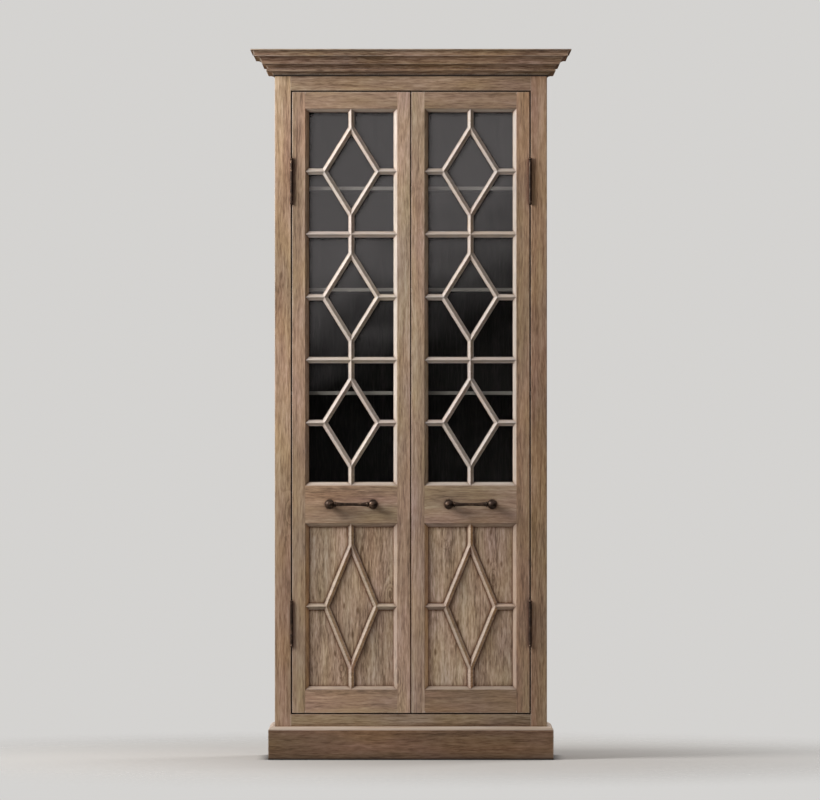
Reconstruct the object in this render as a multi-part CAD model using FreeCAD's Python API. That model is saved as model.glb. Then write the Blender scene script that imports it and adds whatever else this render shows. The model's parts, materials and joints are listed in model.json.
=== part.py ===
import FreeCAD, Part
import math
import os

# Tall two-door display cabinet in oak: a glazed upper part and a panelled lower part
# behind each door, mitred fretwork over both, a moulded crown and a plinth.
# Lengths are in millimetres. +X runs to the viewer's right, +Z up, and the front faces -Y.

# Case
case_width = 919.0
case_depth = 383.0
case_height = 2396.0
side_thickness = 20.0
cap_thickness = 18.0
board_thickness = 18.0
back_thickness = 8.0
housing_depth = 6.0

# Face frame
frame_thickness = 24.0
arris_round = 1.8
frame_stile_width = 54.5
frieze_height = 48.5
opening_bottom = 153.0
bottom_rail_width = 88.0

# Crown moulding, sizes out from the case and up from the crown's foot
crown_projection = 81.0
crown_height = 89.0
crown_quirk_out = 1.5
crown_foot_low = 5.0
crown_foot_top = 8.5
crown_foot_out = 5.5
crown_bead_out = 24.0
crown_bead_low = 14.5
crown_bead_top = 24.5
crown_bead_round = 5.0
crown_cove_out = 39.0
crown_fillet_out = 42.0
crown_fillet_low = 39.5
crown_fillet_top = 48.0
crown_sweep_start = 45.0
crown_sweep_out = 65.0
crown_lip_out = 70.0
crown_lip_low = 66.0
crown_lip_top = 76.0
crown_edge_low = 85.0

# Plinth
plinth_thickness = 22.0
plinth_height = 112.0
plinth_round = 13.0
plinth_top_flat = 4.0
plinth_back_thickness = 18.0

# Doors
door_gap = 4.0
centre_gap = 3.0
door_thickness = 24.0
stile_flat = 44.5
top_rail_flat = 56.6
bottom_rail_flat = 78.5
lock_rail_bottom = 798.0
lock_rail_height = 126.5

# Sticking, the moulding worked on the inner edges of the door members
sticking_width = 12.5
sticking_quirk = 0.8
sticking_edge = 12.0
sticking_bulge = 0.6
lip_depth = 14.0
rebate_shoulder = 7.0
pane_clearance = 1.0
pane_thickness = 4.0
panel_thickness = 6.0
panel_back_clearance = 0.3
bead_flat = 2.0
bead_top_width = 2.5

# Fretwork
bar_half_width = 10.5
bar_flange_width = 2.2
bar_flange_height = 4.5
bar_crest_half_width = 0.9
bar_shoulder_height = 11.8
bar_height = 12.2
upper_rows = 6
upper_diamond_half_width = 91.0
upper_diamond_half_height = 147.0
lower_diamond_half_width = 84.5
lower_diamond_half_height = 207.0

# Shelves and their pins
shelf_thickness = 12.0
display_shelf_shares = [0.752, 0.503, 0.249]
cupboard_shelf_share = 0.507
shelf_front_setback = 18.0
shelf_back_clearance = 2.0
shelf_side_clearance = 1.0
deck_below_lock_rail = 23.5
ceiling_clearance = 2.0
pin_radius = 2.5
pin_in_side = 9.0
pin_stand = 9.0
pin_hole_depth = 10.0
pin_flange_radius = 4.0
pin_flange_thickness = 1.5
pin_row_inset = 50.0
pin_hole_pitch = 32.0
pin_holes_each_way = 1

# Hinges
hinge_end_distance = 302.0
hinge_length = 136.0
hinge_barrel_radius = 4.75
hinge_pin_radius = 2.4
hinge_pin_fit = 0.05
hinge_stand_off = 5.5
leaf_thickness = 2.0
leaf_depth = 21.0
knuckle_count = 5
knuckle_gap = 0.3
knuckle_relief = 0.5
finial_neck = 3.0
finial_neck_radius = 3.2
finial_ball_radius = 5.0
hinge_screw_count = 3
hinge_screw_end = 20.0
hinge_screw_inset = 11.0
screw_head_radius = 4.0
screw_shank_radius = 1.8
screw_length = 22.0
screw_recess_radius = 1.4
screw_recess_depth = 1.0

# Pulls
pull_rise = 0.8
pull_centres = 147.0
pull_ball_radius = 17.0
pull_stand_off = 29.0
pull_rose_radius = 15.0
pull_rose_thickness = 3.0
pull_neck_radius = 7.5
pull_bar_waist = 5.2
pull_bar_collar = 9.6
pull_collar_width = 5.5
pull_collar_neck = 7.2
pull_neck_length = 2.5
pull_spigot_radius = 4.5
pull_spigot_length = 8.0
pull_spigot_end_gap = 0.5
pull_screw_radius = 2.0
pull_screw_head_radius = 4.5
pull_screw_head_height = 2.6
pull_screw_in_post = 12.0

# Catches
catch_width = 46.0
catch_depth = 16.0
catch_above = 16.0
catch_below = 14.0
catch_clearance = 0.3
catch_inset = 60.0
strike_width = 30.0
strike_height = 9.0
strike_thickness = 1.5
catch_corner = 4.0

# Cutting overrun, long enough to pass every face that a cutter has to clear
overrun = 5.0

# Distance under which two places count as one
touch = 0.01

# Places worked out from the sizes above
half_case = case_width / 2
front = -(case_depth + crown_projection) / 2 + crown_projection
back = front + case_depth
inner_half = half_case - side_thickness
frame_back = front + frame_thickness
opening_half = half_case - frame_stile_width
cap_bottom = case_height - cap_thickness
crown_foot = case_height - crown_height
opening_top = crown_foot - frieze_height
door_edge = opening_half - door_gap
door_width = door_edge - centre_gap / 2
door_bottom = opening_bottom + door_gap
door_top = opening_top - door_gap
door_back = front + door_thickness
ceiling_bottom = opening_top + catch_above + ceiling_clearance
ceiling_top = ceiling_bottom + board_thickness
floor_bottom = opening_bottom - board_thickness
lock_rail_top = lock_rail_bottom + lock_rail_height
deck_top = lock_rail_top - deck_below_lock_rail
deck_bottom = deck_top - board_thickness
pull_height = (lock_rail_bottom + lock_rail_top) / 2 + pull_rise
back_face = back - back_thickness
hinge_x = door_edge + door_gap / 2
hinge_y = front - hinge_stand_off
seat = front + lip_depth
quarter_turn_share = math.cos(math.radians(45))

parts = {}


# Basic shapes

def at(x, y, z):
    return FreeCAD.Vector(x, y, z)


def box(x_pair, y_pair, z_pair):
    x0, x1 = sorted(x_pair)
    y0, y1 = sorted(y_pair)
    z0, z1 = sorted(z_pair)
    return Part.makeBox(x1 - x0, y1 - y0, z1 - z0, at(x0, y0, z0))


def cylinder(radius, start, end):
    axis = end.sub(start)
    return Part.makeCylinder(radius, axis.Length, start, axis)


def outline_face(start, steps, place):
    """A face from an outline. A step of one point is a line, one of two points an arc."""
    edges = []
    here = place(*start)
    for step in steps:
        points = [place(*point) for point in step]
        if len(points) == 1:
            edges.append(Part.makeLine(here, points[0]))
        else:
            edges.append(Part.Arc(here, points[0], points[1]).toShape())
        here = points[-1]
    edges.append(Part.makeLine(here, place(*start)))
    return Part.Face(Part.Wire(edges))


def polygon_prism(points, place, travel):
    corners = [place(*point) for point in points]
    wire = Part.makePolygon(corners + [corners[0]])
    return Part.Face(wire).extrude(travel)


def hollow_arc(start, end):
    """Middle of an arc that first rises from its start, then sweeps out to its end."""
    across = start[0] + (end[0] - start[0]) * (1 - quarter_turn_share)
    up = start[1] + (end[1] - start[1]) * quarter_turn_share
    return (across, up)


def spun(start, steps, origin, axis, out):
    """A turned piece: the outline holds places along the axis and radii out from it."""

    def place(along, radius):
        return origin + axis * along + out * radius

    return outline_face(start, steps, place).revolve(origin, axis, 360)


# Mouldings mitred round the front of the case

def crown_outline():
    foot_top = (crown_foot_out, crown_foot_top)
    bead_start = (crown_bead_out, crown_bead_low)
    bead_end = (crown_bead_out, crown_bead_top)
    bead_middle = (crown_bead_out + crown_bead_round, (crown_bead_low + crown_bead_top) / 2)
    cove_end = (crown_cove_out, crown_fillet_low)
    sweep_start = (crown_sweep_start, crown_fillet_top)
    sweep_end = (crown_sweep_out, crown_lip_low)
    lip_top = (crown_lip_out, crown_lip_top)
    edge_start = (crown_projection, crown_edge_low)
    return (0, 0), [
        [(crown_quirk_out, 0)],
        [(crown_quirk_out, crown_foot_low)],
        [(crown_foot_out, crown_foot_low)],
        [foot_top],
        [hollow_arc(foot_top, bead_start), bead_start],
        [bead_middle, bead_end],
        [hollow_arc(bead_end, cove_end), cove_end],
        [(crown_fillet_out, crown_fillet_low)],
        [(crown_sweep_start, crown_fillet_top)],
        [hollow_arc(sweep_start, sweep_end), sweep_end],
        [(crown_lip_out, crown_lip_low)],
        [lip_top],
        [hollow_arc(lip_top, edge_start), edge_start],
        [(crown_projection, crown_height)],
        [(0, crown_height)],
    ]


def plinth_outline():
    round_start = (plinth_thickness, plinth_height - plinth_round)
    round_end = (plinth_top_flat, plinth_height)
    return (0, 0), [
        [(plinth_thickness, 0)],
        [round_start],
        [hollow_arc(round_start, round_end), round_end],
        [(0, plinth_height)],
    ]


def mitred_moulding(name, outline, reach, bottom, height):
    """Front length and two returns, cut at 45 degrees over the front corners of the case."""
    start, steps = outline
    far = reach + overrun

    def on_front(out, up):
        return at(-half_case - far, front - out, bottom + up)

    run = outline_face(start, steps, on_front).extrude(at(case_width + 2 * far, 0, 0))
    front_limit = [(-half_case, front), (half_case, front),
                   (half_case + far, front - far), (-half_case - far, front - far)]
    rise = at(0, 0, height + 2 * overrun)

    def in_plan(x, y):
        return at(x, y, bottom - overrun)

    parts[name + "_front"] = run.common(polygon_prism(front_limit, in_plan, rise))
    for side, word in ((-1, "left"), (1, "right")):

        def on_side(out, up):
            return at(side * (half_case + out), front - far, bottom + up)

        run = outline_face(start, steps, on_side).extrude(at(0, case_depth + far, 0))
        limit = [(side * half_case, front), (side * (half_case + far), front - far),
                 (side * (half_case + far), back), (side * half_case, back)]
        parts[name + "_" + word] = run.common(polygon_prism(limit, in_plan, rise))


# Case boards and face frame

def make_case():
    boards = {
        "ceiling_board": (ceiling_bottom, ceiling_top),
        "fixed_deck": (deck_bottom, deck_top),
        "cupboard_floor": (floor_bottom, opening_bottom),
    }
    housed_half = inner_half + housing_depth
    for name, levels in boards.items():
        parts[name] = box((-housed_half, housed_half), (frame_back, back_face), levels)
    for side, word in ((-1, "left"), (1, "right")):
        panel = box((side * inner_half, side * half_case), (frame_back, back), (0, cap_bottom))
        for name in boards:
            panel = panel.cut(parts[name])
        for hole in pin_holes(side):
            panel = panel.cut(hole)
        parts[word + "_side_panel"] = panel
    parts["back_panel"] = box((-inner_half, inner_half), (back_face, back),
                              (floor_bottom, cap_bottom))
    parts["cap_board"] = box((-half_case, half_case), (front, back), (cap_bottom, case_height))
    parts["base_back_rail"] = box((-inner_half, inner_half), (back - plinth_back_thickness, back),
                                  (0, floor_bottom))


def eased(solid, plain_levels=()):
    """Rounds the arrises round the front face, except the level ones at plain_levels."""
    arrises = []
    for edge in solid.Edges:
        reach = edge.BoundBox
        level = reach.ZLength < touch
        plain = level and any(abs(reach.ZMin - place) < touch for place in plain_levels)
        if reach.YMax < front + touch and not plain:
            arrises.append(edge)
    return solid.makeFillet(arris_round, arrises)


def make_face_frame():
    rail_bottom = opening_bottom - bottom_rail_width
    depth = (front, frame_back)
    rail_span = (-opening_half, opening_half)
    whole = box((-half_case, half_case), depth, (0, cap_bottom))
    blank = eased(whole.cut(box(rail_span, depth, (opening_bottom, opening_top))),
                  (0, cap_bottom))
    frieze_rail = box(rail_span, depth, (opening_top, cap_bottom))
    bottom_rail = box(rail_span, depth, (rail_bottom, opening_bottom))
    parts["frame_frieze_rail"] = frieze_rail.common(blank)
    parts["frame_bottom_rail"] = bottom_rail.common(blank)
    for side, word in ((-1, "left"), (1, "right")):
        stile = box((side * opening_half, side * half_case), depth, (0, cap_bottom))
        stile = stile.common(blank)
        for cutter in hinge_recesses(side):
            stile = stile.cut(cutter)
        parts["frame_" + word + "_stile"] = stile


# Adjustable shelves

def shelf_tops():
    tops = [deck_top + share * (ceiling_bottom - deck_top) for share in display_shelf_shares]
    tops.append(opening_bottom + cupboard_shelf_share * (deck_bottom - opening_bottom))
    return tops


def pin_levels():
    return [top - shelf_thickness - pin_radius for top in shelf_tops()]


def pin_rows():
    return (frame_back + shelf_front_setback + pin_row_inset, back_face - pin_row_inset)


def pin_holes(side):
    holes = []
    wall = side * inner_half
    for level in pin_levels():
        for step in range(-pin_holes_each_way, pin_holes_each_way + 1):
            z = level + step * pin_hole_pitch
            for y in pin_rows():
                end = at(wall + side * pin_hole_depth, y, z)
                holes.append(cylinder(pin_radius, at(wall, y, z), end))
    return holes


def make_shelves():
    names = ["upper_shelf", "middle_shelf", "lower_shelf", "cupboard_shelf"]
    half = inner_half - shelf_side_clearance
    depth = (frame_back + shelf_front_setback, back_face - shelf_back_clearance)
    for name, top in zip(names, shelf_tops()):
        parts[name] = box((-half, half), depth, (top - shelf_thickness, top))
    pins = []
    for side in (-1, 1):
        wall = side * inner_half
        for level in pin_levels():
            for y in pin_rows():
                stem = cylinder(pin_radius, at(wall + side * pin_in_side, y, level),
                                at(wall - side * pin_stand, y, level))
                flange = cylinder(pin_flange_radius, at(wall, y, level),
                                  at(wall - side * pin_flange_thickness, y, level))
                trim = box((wall, wall - side * pin_stand),
                           (y - pin_flange_radius, y + pin_flange_radius),
                           (level + pin_radius, level + pin_flange_radius + overrun))
                pins.append(stem.fuse(flange.cut(trim)).removeSplitter())
    parts["shelf_pins"] = Part.makeCompound(pins)


# Door members

def door_x(side, across):
    """Places across a door are measured from its hinge edge towards the meeting edge."""
    return side * (door_edge - across)


def sticking_outline(grooved):
    """Distance in from the member's flat edge, and depth back from the door's face."""
    middle = (sticking_width / 2 + sticking_bulge, (sticking_quirk + sticking_edge) / 2 - sticking_bulge)
    steps = [
        [middle, (sticking_width, sticking_edge)],
        [(sticking_width, lip_depth)],
        [(rebate_shoulder, lip_depth)],
    ]
    if grooved:
        groove_back = lip_depth + panel_thickness + panel_back_clearance
        steps.append([(rebate_shoulder, groove_back)])
        steps.append([(sticking_width, groove_back)])
        steps.append([(sticking_width, door_thickness)])
    else:
        steps.append([(rebate_shoulder, door_thickness)])
    steps.append([(0, door_thickness)])
    return (0, sticking_quirk), steps


def bead_outline():
    low = lip_depth + pane_thickness
    start = (sticking_width, low + bead_flat)
    end = (rebate_shoulder + bead_top_width, door_thickness)
    return (rebate_shoulder, low), [
        [(sticking_width, low)],
        [start],
        [hollow_arc(start, end), end],
        [(rebate_shoulder, door_thickness)],
    ]


def edge_ring(side, opening, outline):
    """Four lengths of one outline round an opening, mitred at its corners."""
    near, far, low, high = opening
    reach = min(far - near, high - low) / 2
    start, steps = outline
    ring = {}
    runs = {
        "hinge": (lambda s, d: at(door_x(side, near + s), front + d, low), at(0, 0, high - low)),
        "meeting": (lambda s, d: at(door_x(side, far - s), front + d, low), at(0, 0, high - low)),
        "bottom": (lambda s, d: at(door_x(side, near), front + d, low + s),
                   at(-side * (far - near), 0, 0)),
        "top": (lambda s, d: at(door_x(side, near), front + d, high - s),
                at(-side * (far - near), 0, 0)),
    }
    limits = {
        "hinge": [(near, low), (near, high), (near + reach, high - reach), (near + reach, low + reach)],
        "meeting": [(far, low), (far, high), (far - reach, high - reach), (far - reach, low + reach)],
        "bottom": [(near, low), (far, low), (far - reach, low + reach), (near + reach, low + reach)],
        "top": [(near, high), (far, high), (far - reach, high - reach), (near + reach, high - reach)],
    }

    def in_face(across, z):
        return at(door_x(side, across), front - overrun, z)

    for edge, (place, travel) in runs.items():
        run = outline_face(start, steps, place).extrude(travel)
        corners = [corner for index, corner in enumerate(limits[edge])
                   if corner not in limits[edge][:index]]
        limit = polygon_prism(corners, in_face, at(0, door_thickness + 2 * overrun, 0))
        ring[edge] = run.common(limit)
    return ring


def joined(*shapes):
    whole = shapes[0]
    for shape in shapes[1:]:
        whole = whole.fuse(shape)
    return whole.removeSplitter()


def make_door(side, word):
    depth = (front, door_back)
    edge_low = stile_flat
    edge_high = door_width - stile_flat
    upper = (edge_low, edge_high, lock_rail_top, door_top - top_rail_flat)
    lower = (edge_low, edge_high, door_bottom + bottom_rail_flat, lock_rail_bottom)
    glazed = edge_ring(side, upper, sticking_outline(grooved=False))
    panelled = edge_ring(side, lower, sticking_outline(grooved=True))
    between = (door_x(side, edge_low), door_x(side, edge_high))

    hinge_stile = box((door_x(side, 0), door_x(side, edge_low)), depth, (door_bottom, door_top))
    hinge_stile = joined(hinge_stile, glazed["hinge"], panelled["hinge"])
    for cutter in hinge_recesses(side):
        hinge_stile = hinge_stile.cut(cutter)
    meeting_stile = box((door_x(side, edge_high), door_x(side, door_width)), depth,
                        (door_bottom, door_top))
    meeting_stile = joined(meeting_stile, glazed["meeting"], panelled["meeting"])
    top_rail = joined(box(between, depth, (upper[3], door_top)), glazed["top"])
    lock_rail = joined(box(between, depth, (lock_rail_bottom, lock_rail_top)),
                       glazed["bottom"], panelled["top"])
    for x in pull_places(side):
        lock_rail = lock_rail.cut(cylinder(pull_screw_radius, at(x, front - overrun, pull_height),
                                           at(x, door_back + overrun, pull_height)))
    bottom_rail = joined(box(between, depth, (door_bottom, lower[2])), panelled["bottom"])

    blank = eased(box((door_x(side, 0), door_x(side, door_width)), depth, (door_bottom, door_top)))
    strike = strike_plate(side)
    parts[word + "_strike_plate"] = strike
    members = {
        "hinge_stile": hinge_stile,
        "meeting_stile": meeting_stile.cut(strike),
        "top_rail": top_rail.cut(strike),
        "lock_rail": lock_rail,
        "bottom_rail": bottom_rail,
    }
    for name, member in members.items():
        parts[word + "_door_" + name] = member.common(blank)

    inset = rebate_shoulder + pane_clearance
    for name, opening, thickness in (("pane", upper, pane_thickness),
                                     ("panel", lower, panel_thickness)):
        near, far, low, high = opening
        parts[word + "_door_" + name] = box(
            (door_x(side, near + inset), door_x(side, far - inset)),
            (seat, seat + thickness), (low + inset, high - inset))
    beads = edge_ring(side, upper, bead_outline())
    parts[word + "_glazing_beads"] = Part.makeCompound(list(beads.values()))

    parts[word + "_upper_fretwork"] = fretwork(side, upper_lattice(upper), glazed.values())
    parts[word + "_lower_fretwork"] = fretwork(side, lower_lattice(lower), panelled.values())


# Fretwork: ridged bars, each cut along the lines that halve the angles to its neighbours

def upper_lattice(opening):
    """Diamonds on the odd rows, full crossbars on the even ones, linked up the middle."""
    near, far, low, high = opening
    middle = (near + far) / 2
    pitch = (high - low) / upper_rows
    links = []
    last = (middle, high)
    for row in range(1, upper_rows):
        z = high - row * pitch
        if row % 2:
            links += diamond(middle, z, upper_diamond_half_width, upper_diamond_half_height)
            links.append(((middle - upper_diamond_half_width, z), (near, z)))
            links.append(((middle + upper_diamond_half_width, z), (far, z)))
            links.append((last, (middle, z + upper_diamond_half_height)))
            last = (middle, z - upper_diamond_half_height)
        else:
            links.append((last, (middle, z)))
            links.append(((middle, z), (near, z)))
            links.append(((middle, z), (far, z)))
            last = (middle, z)
    links.append((last, (middle, low)))
    return links


def lower_lattice(opening):
    near, far, low, high = opening
    middle = (near + far) / 2
    z = (low + high) / 2
    links = diamond(middle, z, lower_diamond_half_width, lower_diamond_half_height)
    links.append(((middle - lower_diamond_half_width, z), (near, z)))
    links.append(((middle + lower_diamond_half_width, z), (far, z)))
    links.append(((middle, z + lower_diamond_half_height), (middle, high)))
    links.append(((middle, z - lower_diamond_half_height), (middle, low)))
    return links


def diamond(middle, z, half_width, half_height):
    corners = [(middle, z + half_height), (middle + half_width, z),
               (middle, z - half_height), (middle - half_width, z)]
    return list(zip(corners, corners[1:] + corners[:1]))


def bearing(start, end):
    return math.atan2(end[1] - start[1], end[0] - start[0])


def bar_end(node, other, links):
    """Corners of a bar's plan at one end: left edge, centre and right edge seen from there."""
    heading = bearing(node, other)
    forward = (math.cos(heading), math.sin(heading))
    leftward = (-forward[1], forward[0])
    meeting = [link[1] if link[0] == node else link[0] for link in links if node in link]
    turns = sorted((bearing(node, end) - heading) % (2 * math.pi) for end in meeting if end != other)
    if not turns:
        setbacks = (0, 0)
    else:
        setbacks = (bar_half_width / math.tan(turns[0] / 2),
                    bar_half_width / math.tan((2 * math.pi - turns[-1]) / 2))
    corners = []
    for setback, offset in ((setbacks[0], bar_half_width), (0, 0), (setbacks[1], -bar_half_width)):
        corners.append((node[0] + forward[0] * setback + leftward[0] * offset,
                        node[1] + forward[1] * setback + leftward[1] * offset))
    return corners


def fretwork(side, links, edges):
    ridge_foot = bar_half_width - bar_flange_width
    bars = []
    for start, end in links:
        plan = bar_end(start, end, links) + bar_end(end, start, links)
        heading = bearing(start, end)
        forward = (math.cos(heading), math.sin(heading))
        leftward = (-forward[1], forward[0])
        length = math.hypot(end[0] - start[0], end[1] - start[1])
        extra = bar_half_width + overrun

        def on_bar(offset, height):
            across = start[0] - forward[0] * extra + leftward[0] * offset
            z = start[1] - forward[1] * extra + leftward[1] * offset
            return at(door_x(side, across), seat - height, z)

        travel = length + 2 * extra
        ridge = outline_face((-bar_half_width, 0), [
            [(-bar_half_width, bar_flange_height)],
            [(-ridge_foot, bar_flange_height)],
            [(-bar_crest_half_width, bar_shoulder_height)],
            [(0, bar_height), (bar_crest_half_width, bar_shoulder_height)],
            [(ridge_foot, bar_flange_height)],
            [(bar_half_width, bar_flange_height)],
            [(bar_half_width, 0)],
        ], on_bar).extrude(at(-side * forward[0] * travel, 0, forward[1] * travel))

        def in_face(across, z):
            return at(door_x(side, across), seat - bar_height - overrun, z)

        limit = polygon_prism(plan, in_face, at(0, bar_height + 2 * overrun, 0))
        bar = ridge.common(limit)
        if min(sum(node in link for link in links) for node in (start, end)) == 1:
            for edge in edges:
                bar = bar.cut(edge)
        bars += bar.Solids
    return Part.makeCompound(bars)


# Hinges

def hinge_levels():
    return (door_bottom + hinge_end_distance, door_top - hinge_end_distance)


def screw_places():
    step = (hinge_length - 2 * hinge_screw_end) / (hinge_screw_count - 1)
    return [-hinge_length / 2 + hinge_screw_end + index * step for index in range(hinge_screw_count)]


def leaf_plates(side, level):
    """Frame plate and door plate, each let into its edge and reaching out to the barrel."""
    low = level - hinge_length / 2
    high = level + hinge_length / 2
    depth = (hinge_y, front + leaf_depth)
    plates = []
    for direction in (1, -1):
        face = hinge_x + direction * door_gap / 2
        buried = face + direction * leaf_thickness
        plates.append(box((side * face, side * buried), depth, (low, high)))
    return plates


def hinge_recesses(side):
    cutters = []
    for level in hinge_levels():
        cutters += leaf_plates(side, level)
        for direction in (1, -1):
            for offset in screw_places():
                cutters.append(hinge_screw(side, direction, level + offset))
    return cutters


def hinge_screw(side, direction, z):
    """Countersunk screw through a plate, its head flush with the plate's open face."""
    face = hinge_x + direction * door_gap / 2
    origin = at(side * face, front + hinge_screw_inset, z)
    axis = at(side * direction, 0, 0)
    return spun((0, 0), [
        [(0, screw_head_radius)],
        [(leaf_thickness, screw_shank_radius)],
        [(screw_length, screw_shank_radius)],
        [(screw_length, 0)],
    ], origin, axis, at(0, 0, 1))


def make_hinges(side, word):
    leaves = {1: [], -1: []}
    screws = {1: [], -1: []}
    pins = []
    knuckle = hinge_length / knuckle_count
    for level in hinge_levels():
        low = level - hinge_length / 2
        plates = dict(zip((1, -1), leaf_plates(side, level)))
        for index in range(knuckle_count):
            direction = 1 if index % 2 == 0 else -1
            bottom = low + index * knuckle + (knuckle_gap / 2 if index else 0)
            last = index == knuckle_count - 1
            top = low + (index + 1) * knuckle - (0 if last else knuckle_gap / 2)
            tube = cylinder(hinge_barrel_radius, at(side * hinge_x, hinge_y, bottom),
                            at(side * hinge_x, hinge_y, top))
            relief = cylinder(hinge_barrel_radius + knuckle_relief,
                              at(side * hinge_x, hinge_y, bottom - knuckle_gap),
                              at(side * hinge_x, hinge_y, top + knuckle_gap))
            plates[-direction] = plates[-direction].cut(relief)
            plates[direction] = plates[direction].fuse(tube)
        bore = cylinder(hinge_pin_radius + hinge_pin_fit,
                        at(side * hinge_x, hinge_y, low - overrun),
                        at(side * hinge_x, hinge_y, low + hinge_length + overrun))
        for direction in (1, -1):
            leaf = plates[direction].cut(bore)
            for offset in screw_places():
                screw = hinge_screw(side, direction, level + offset)
                leaf = leaf.cut(screw)
                face = side * (hinge_x + direction * door_gap / 2)
                socket = cylinder(screw_recess_radius,
                                  at(face, front + hinge_screw_inset, level + offset),
                                  at(face + side * direction * screw_recess_depth,
                                     front + hinge_screw_inset, level + offset))
                screws[direction].append(screw.cut(socket))
            leaves[direction].append(leaf.removeSplitter())
        pins.append(hinge_pin(side, low))
    parts[word + "_hinge_door_leaves"] = Part.makeCompound(leaves[-1])
    parts[word + "_hinge_door_screws"] = Part.makeCompound(screws[-1])
    return {"hinge_frame_leaves": leaves[1], "hinge_pins": pins, "hinge_frame_screws": screws[1]}


def hinge_pin(side, low):
    """Loose pin with a turned finial at each end, the ends of one unbroken outline."""
    origin = at(side * hinge_x, hinge_y, low)
    ball_drop = math.sqrt(finial_ball_radius ** 2 - finial_neck_radius ** 2)
    below = -finial_neck - ball_drop
    above = hinge_length + finial_neck + ball_drop
    return spun((below - finial_ball_radius, 0), [
        [(below, finial_ball_radius), (-finial_neck, finial_neck_radius)],
        [(0, finial_neck_radius)],
        [(0, hinge_pin_radius)],
        [(hinge_length, hinge_pin_radius)],
        [(hinge_length, finial_neck_radius)],
        [(hinge_length + finial_neck, finial_neck_radius)],
        [(above, finial_ball_radius), (above + finial_ball_radius, 0)],
    ], origin, at(0, 0, 1), at(1, 0, 0))


# Pulls

def pull_places(side):
    middle = door_x(side, door_width / 2)
    return (middle - pull_centres / 2, middle + pull_centres / 2)


def make_pull(side, word):
    posts = []
    screws = []
    ball_y = front - pull_stand_off
    left, right = pull_places(side)
    neck_meets_ball = pull_stand_off - math.sqrt(pull_ball_radius ** 2 - pull_neck_radius ** 2)
    spigot_bore = pull_ball_radius - pull_spigot_length - pull_spigot_end_gap
    for x, inward in ((left, 1), (right, -1)):
        foot = at(x, front, pull_height)
        cove_end = (neck_meets_ball, pull_neck_radius)
        cove_start = (pull_rose_thickness, pull_rose_radius)
        post = spun((0, 0), [
            [(0, pull_rose_radius)],
            [cove_start],
            [hollow_arc(cove_start, cove_end), cove_end],
            [(pull_stand_off, pull_ball_radius), (pull_stand_off + pull_ball_radius, 0)],
        ], foot, at(0, -1, 0), at(0, 0, 1))
        bore = cylinder(pull_spigot_radius, at(x + inward * spigot_bore, ball_y, pull_height),
                        at(x + inward * (pull_ball_radius + overrun), ball_y, pull_height))
        screw = pull_screw(x)
        posts.append(post.cut(bore).cut(screw))
        screws.append(screw)
    parts[word + "_pull_posts"] = Part.makeCompound(posts)
    parts[word + "_pull_bar"] = pull_bar(left, right, ball_y)
    parts[word + "_pull_screws"] = Part.makeCompound(screws)


def pull_screw(x):
    """Screw from behind the lock rail into the post."""
    origin = at(x, door_back + pull_screw_head_height, pull_height)
    reach = pull_screw_head_height + door_thickness + pull_screw_in_post
    dome = (pull_screw_head_height, pull_screw_head_radius)
    return spun((0, 0), [
        [hollow_arc((0, 0), dome), dome],
        [(pull_screw_head_height, pull_screw_radius)],
        [(reach, pull_screw_radius)],
        [(reach, 0)],
    ], origin, at(0, -1, 0), at(0, 0, 1))


def pull_bar(left, right, ball_y):
    """Turned bar: a spigot in each ball, a collar beside it and a waist in the middle."""
    start = math.sqrt(pull_ball_radius ** 2 - pull_spigot_radius ** 2)
    length = right - left
    collar_middle = start + pull_collar_width / 2
    collar_end = start + pull_collar_width
    neck_end = collar_end + pull_neck_length

    def mirrored(point):
        return (length - point[0], point[1])

    near = [
        (pull_ball_radius - pull_spigot_length, 0),
        (pull_ball_radius - pull_spigot_length, pull_spigot_radius),
        (start, pull_spigot_radius),
        (start, pull_collar_neck),
        (collar_middle, pull_bar_collar),
        (collar_end, pull_collar_neck),
        (neck_end, pull_collar_neck),
    ]
    steps = [[near[1]], [near[2]], [near[3]], [near[4], near[5]], [near[6]],
             [(length / 2, pull_bar_waist), mirrored(near[6])],
             [mirrored(near[5])], [mirrored(near[4]), mirrored(near[3])],
             [mirrored(near[2])], [mirrored(near[1])], [mirrored(near[0])]]
    bar = spun(near[0], steps, at(left, ball_y, pull_height), at(1, 0, 0), at(0, 0, 1))
    for x in (left, right):
        ball = Part.makeSphere(pull_ball_radius, at(x, ball_y, pull_height))
        spigots = cylinder(pull_spigot_radius, at(left, ball_y, pull_height),
                           at(right, ball_y, pull_height))
        bar = bar.cut(ball.cut(spigots))
    return bar


# Catches behind the tops of the doors

def catch_x(side):
    return door_x(side, door_width - catch_inset)


def strike_plate(side):
    z = (opening_top - catch_below + door_top) / 2
    return box((catch_x(side) - strike_width / 2, catch_x(side) + strike_width / 2),
               (door_back - strike_thickness, door_back),
               (z - strike_height / 2, z + strike_height / 2))


def make_catches():
    catches = []
    for side in (-1, 1):
        span = (catch_x(side) - catch_width / 2, catch_x(side) + catch_width / 2)
        back_y = frame_back + catch_depth
        low = opening_top - catch_below
        high = opening_top + catch_above
        block = box(span, (frame_back, back_y), (opening_top, high))
        block = block.fuse(box(span, (door_back + catch_clearance, back_y), (low, opening_top)))
        block = block.removeSplitter()
        rear = [edge for edge in block.Edges
                if abs(edge.BoundBox.YMin - back_y) < catch_clearance
                and edge.BoundBox.YLength < catch_clearance]
        catches.append(block.makeChamfer(catch_corner, rear))
    parts["door_catches"] = Part.makeCompound(catches)


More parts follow.
